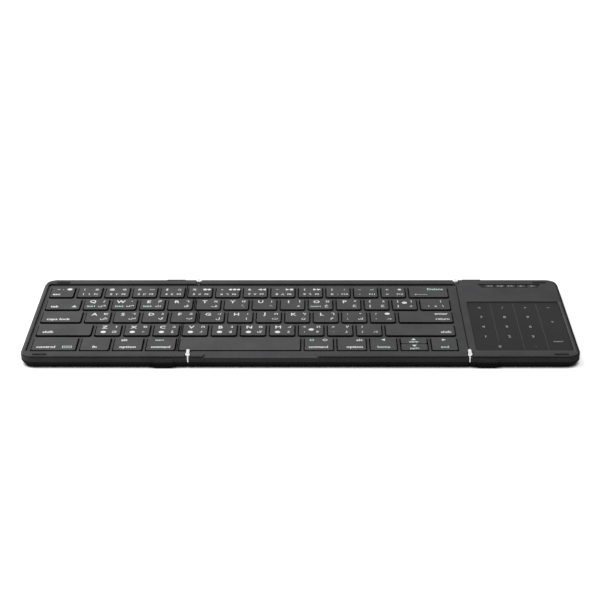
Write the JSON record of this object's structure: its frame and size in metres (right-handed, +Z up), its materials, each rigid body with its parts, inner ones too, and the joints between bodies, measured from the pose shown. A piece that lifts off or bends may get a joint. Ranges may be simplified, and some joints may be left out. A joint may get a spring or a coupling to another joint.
{
  "type": "folding keyboard",
  "caption": "Thin wireless keyboard in hinged panels, open flat: letter keys across two panels and a touchpad with number pad on the third, both wings folding inwards.",
  "frame": {"origin": "on the desk under the middle of the open keyboard", "axes": "+X to the user's right along the length, +Y away from the user, +Z up"},
  "size_m": [0.3046, 0.0988, 0.0089],
  "materials": {
    "case_plastic": "fine matte texture",
    "key_plastic": "fine matte texture",
    "pad_glass": "satin coated glass",
    "media_plastic": "satin",
    "rubber": "matte rubber",
    "clear_rubber": "translucent silicone",
    "lever_plastic": "moulded",
    "hinge_steel": "polished",
    "plate_steel": "black coated sheet",
    "screw_steel": "dark plated",
    "magnet": "nickel plated",
    "film": "black polyester film",
    "circuit_board": "solder mask",
    "shield": "tin plated",
    "battery_foil": "laminated foil",
    "flex": "polyimide film"
  },
  "bodies": {
    "middle_panel": {"middle_bottom_cover": "case_plastic", "middle_top_case": "case_plastic", "middle_key_plate": "plate_steel", "middle_membrane": "film", "middle_rubber_domes": "clear_rubber", "middle_scissors": "lever_plastic", "middle_magnets": "magnet", "middle_feet": "rubber", "middle_screws": "screw_steel", "main_circuit_board": "circuit_board", "wireless_module": "shield", "battery": "battery_foil", "charging_socket": "hinge_steel", "left_hinge_pins": "hinge_steel", "left_hinge_inner_leaves": "hinge_steel", "right_hinge_pins": "hinge_steel", "right_hinge_inner_leaves": "hinge_steel", "left_flex_cable": "flex", "right_flex_cable": "flex"},
    "left_wing": {"left_bottom_cover": "case_plastic", "left_top_case": "case_plastic", "left_key_plate": "plate_steel", "left_membrane": "film", "left_rubber_domes": "clear_rubber", "left_scissors": "lever_plastic", "left_magnets": "magnet", "left_feet": "rubber", "left_bumpers": "rubber", "left_screws": "screw_steel", "left_hinge_outer_leaves": "hinge_steel"},
    "right_wing": {"right_bottom_cover": "case_plastic", "right_top_case": "case_plastic", "touchpad_glass": "pad_glass", "touch_sensor_board": "circuit_board", "right_magnets": "magnet", "right_feet": "rubber", "right_bumpers": "rubber", "right_screws": "screw_steel", "right_hinge_outer_leaves": "hinge_steel"},
    "esc_key": {"esc_key": "key_plastic"},
    "number_keys_left": {"number_keys_left": "key_plastic"},
    "tab_key": {"tab_key": "key_plastic"},
    "upper_letters_left": {"upper_letters_left": "key_plastic"},
    "caps_lock_key": {"caps_lock_key": "key_plastic"},
    "home_letters_left": {"home_letters_left": "key_plastic"},
    "left_shift_key": {"left_shift_key": "key_plastic"},
    "lower_letters_left": {"lower_letters_left": "key_plastic"},
    "modifier_keys_left": {"modifier_keys_left": "key_plastic"},
    "number_keys_right": {"number_keys_right": "key_plastic"},
    "delete_key": {"delete_key": "key_plastic"},
    "upper_letters_right": {"upper_letters_right": "key_plastic"},
    "backslash_key": {"backslash_key": "key_plastic"},
    "home_letters_right": {"home_letters_right": "key_plastic"},
    "enter_key": {"enter_key": "key_plastic"},
    "lower_letters_right": {"lower_letters_right": "key_plastic"},
    "right_shift_key": {"right_shift_key": "key_plastic"},
    "space_bar": {"space_bar": "key_plastic"},
    "modifier_keys_right": {"modifier_keys_right": "key_plastic"},
    "arrow_keys": {"arrow_keys": "key_plastic"},
    "media_keys": {"media_keys": "media_plastic"}
  },
  "joints": [
    {"name": "left_wing_fold", "type": "hinge", "parent": "middle_panel", "child": "left_wing", "pos_m": [-0.06109, 0, 0.0078], "axis": [0, 1, 0], "range_deg": [0, 180], "deforming": ["left_flex_cable"]},
    {"name": "right_wing_fold", "type": "hinge", "parent": "middle_panel", "child": "right_wing", "pos_m": [0.09195, 0, 0.0078], "axis": [0, -1, 0], "range_deg": [0, 180], "deforming": ["right_flex_cable"]},
    {"name": "esc_key_press", "type": "slide", "parent": "left_wing", "child": "esc_key", "axis": [0, 0, -1], "range_m": [0, 0.0011], "stiffness_N_per_m": 500, "springref_m": -0.0003, "deforming": ["left_rubber_domes", "left_scissors"]},
    {"name": "number_keys_left_press", "type": "slide", "parent": "left_wing", "child": "number_keys_left", "axis": [0, 0, -1], "range_m": [0, 0.0011], "stiffness_N_per_m": 500, "springref_m": -0.0003, "deforming": ["left_rubber_domes", "left_scissors"]},
    {"name": "tab_key_press", "type": "slide", "parent": "left_wing", "child": "tab_key", "axis": [0, 0, -1], "range_m": [0, 0.0011], "stiffness_N_per_m": 500, "springref_m": -0.0003, "deforming": ["left_rubber_domes", "left_scissors"]},
    {"name": "upper_letters_left_press", "type": "slide", "parent": "left_wing", "child": "upper_letters_left", "axis": [0, 0, -1], "range_m": [0, 0.0011], "stiffness_N_per_m": 500, "springref_m": -0.0003, "deforming": ["left_rubber_domes", "left_scissors"]},
    {"name": "caps_lock_key_press", "type": "slide", "parent": "left_wing", "child": "caps_lock_key", "axis": [0, 0, -1], "range_m": [0, 0.0011], "stiffness_N_per_m": 500, "springref_m": -0.0003, "deforming": ["left_rubber_domes", "left_scissors"]},
    {"name": "home_letters_left_press", "type": "slide", "parent": "left_wing", "child": "home_letters_left", "axis": [0, 0, -1], "range_m": [0, 0.0011], "stiffness_N_per_m": 500, "springref_m": -0.0003, "deforming": ["left_rubber_domes", "left_scissors"]},
    {"name": "left_shift_key_press", "type": "slide", "parent": "left_wing", "child": "left_shift_key", "axis": [0, 0, -1], "range_m": [0, 0.0011], "stiffness_N_per_m": 500, "springref_m": -0.0003, "deforming": ["left_rubber_domes", "left_scissors"]},
    {"name": "lower_letters_left_press", "type": "slide", "parent": "left_wing", "child": "lower_letters_left", "axis": [0, 0, -1], "range_m": [0, 0.0011], "stiffness_N_per_m": 500, "springref_m": -0.0003, "deforming": ["left_rubber_domes", "left_scissors"]},
    {"name": "modifier_keys_left_press", "type": "slide", "parent": "left_wing", "child": "modifier_keys_left", "axis": [0, 0, -1], "range_m": [0, 0.0011], "stiffness_N_per_m": 500, "springref_m": -0.0003, "deforming": ["left_rubber_domes", "left_scissors"]},
    {"name": "number_keys_right_press", "type": "slide", "parent": "middle_panel", "child": "number_keys_right", "axis": [0, 0, -1], "range_m": [0, 0.0011], "stiffness_N_per_m": 500, "springref_m": -0.0003, "deforming": ["middle_rubber_domes", "middle_scissors"]},
    {"name": "delete_key_press", "type": "slide", "parent": "middle_panel", "child": "delete_key", "axis": [0, 0, -1], "range_m": [0, 0.0011], "stiffness_N_per_m": 500, "springref_m": -0.0003, "deforming": ["middle_rubber_domes", "middle_scissors"]},
    {"name": "upper_letters_right_press", "type": "slide", "parent": "middle_panel", "child": "upper_letters_right", "axis": [0, 0, -1], "range_m": [0, 0.0011], "stiffness_N_per_m": 500, "springref_m": -0.0003, "deforming": ["middle_rubber_domes", "middle_scissors"]},
    {"name": "backslash_key_press", "type": "slide", "parent": "middle_panel", "child": "backslash_key", "axis": [0, 0, -1], "range_m": [0, 0.0011], "stiffness_N_per_m": 500, "springref_m": -0.0003, "deforming": ["middle_rubber_domes", "middle_scissors"]},
    {"name": "home_letters_right_press", "type": "slide", "parent": "middle_panel", "child": "home_letters_right", "axis": [0, 0, -1], "range_m": [0, 0.0011], "stiffness_N_per_m": 500, "springref_m": -0.0003, "deforming": ["middle_rubber_domes", "middle_scissors"]},
    {"name": "enter_key_press", "type": "slide", "parent": "middle_panel", "child": "enter_key", "axis": [0, 0, -1], "range_m": [0, 0.0011], "stiffness_N_per_m": 500, "springref_m": -0.0003, "deforming": ["middle_rubber_domes", "middle_scissors"]},
    {"name": "lower_letters_right_press", "type": "slide", "parent": "middle_panel", "child": "lower_letters_right", "axis": [0, 0, -1], "range_m": [0, 0.0011], "stiffness_N_per_m": 500, "springref_m": -0.0003, "deforming": ["middle_rubber_domes", "middle_scissors"]},
    {"name": "right_shift_key_press", "type": "slide", "parent": "middle_panel", "child": "right_shift_key", "axis": [0, 0, -1], "range_m": [0, 0.0011], "stiffness_N_per_m": 500, "springref_m": -0.0003, "deforming": ["middle_rubber_domes", "middle_scissors"]},
    {"name": "space_bar_press", "type": "slide", "parent": "middle_panel", "child": "space_bar", "axis": [0, 0, -1], "range_m": [0, 0.0011], "stiffness_N_per_m": 500, "springref_m": -0.0003, "deforming": ["middle_rubber_domes", "middle_scissors"]},
    {"name": "modifier_keys_right_press", "type": "slide", "parent": "middle_panel", "child": "modifier_keys_right", "axis": [0, 0, -1], "range_m": [0, 0.0011], "stiffness_N_per_m": 500, "springref_m": -0.0003, "deforming": ["middle_rubber_domes", "middle_scissors"]},
    {"name": "arrow_keys_press", "type": "slide", "parent": "middle_panel", "child": "arrow_keys", "axis": [0, 0, -1], "range_m": [0, 0.0011], "stiffness_N_per_m": 500, "springref_m": -0.0003, "deforming": ["middle_rubber_domes", "middle_scissors"]},
    {"name": "media_keys_press", "type": "slide", "parent": "right_wing", "child": "media_keys", "axis": [0, 0, -1], "range_m": [0, 0.00025], "stiffness_N_per_m": 800, "springref_m": -0.0002}
  ]
}
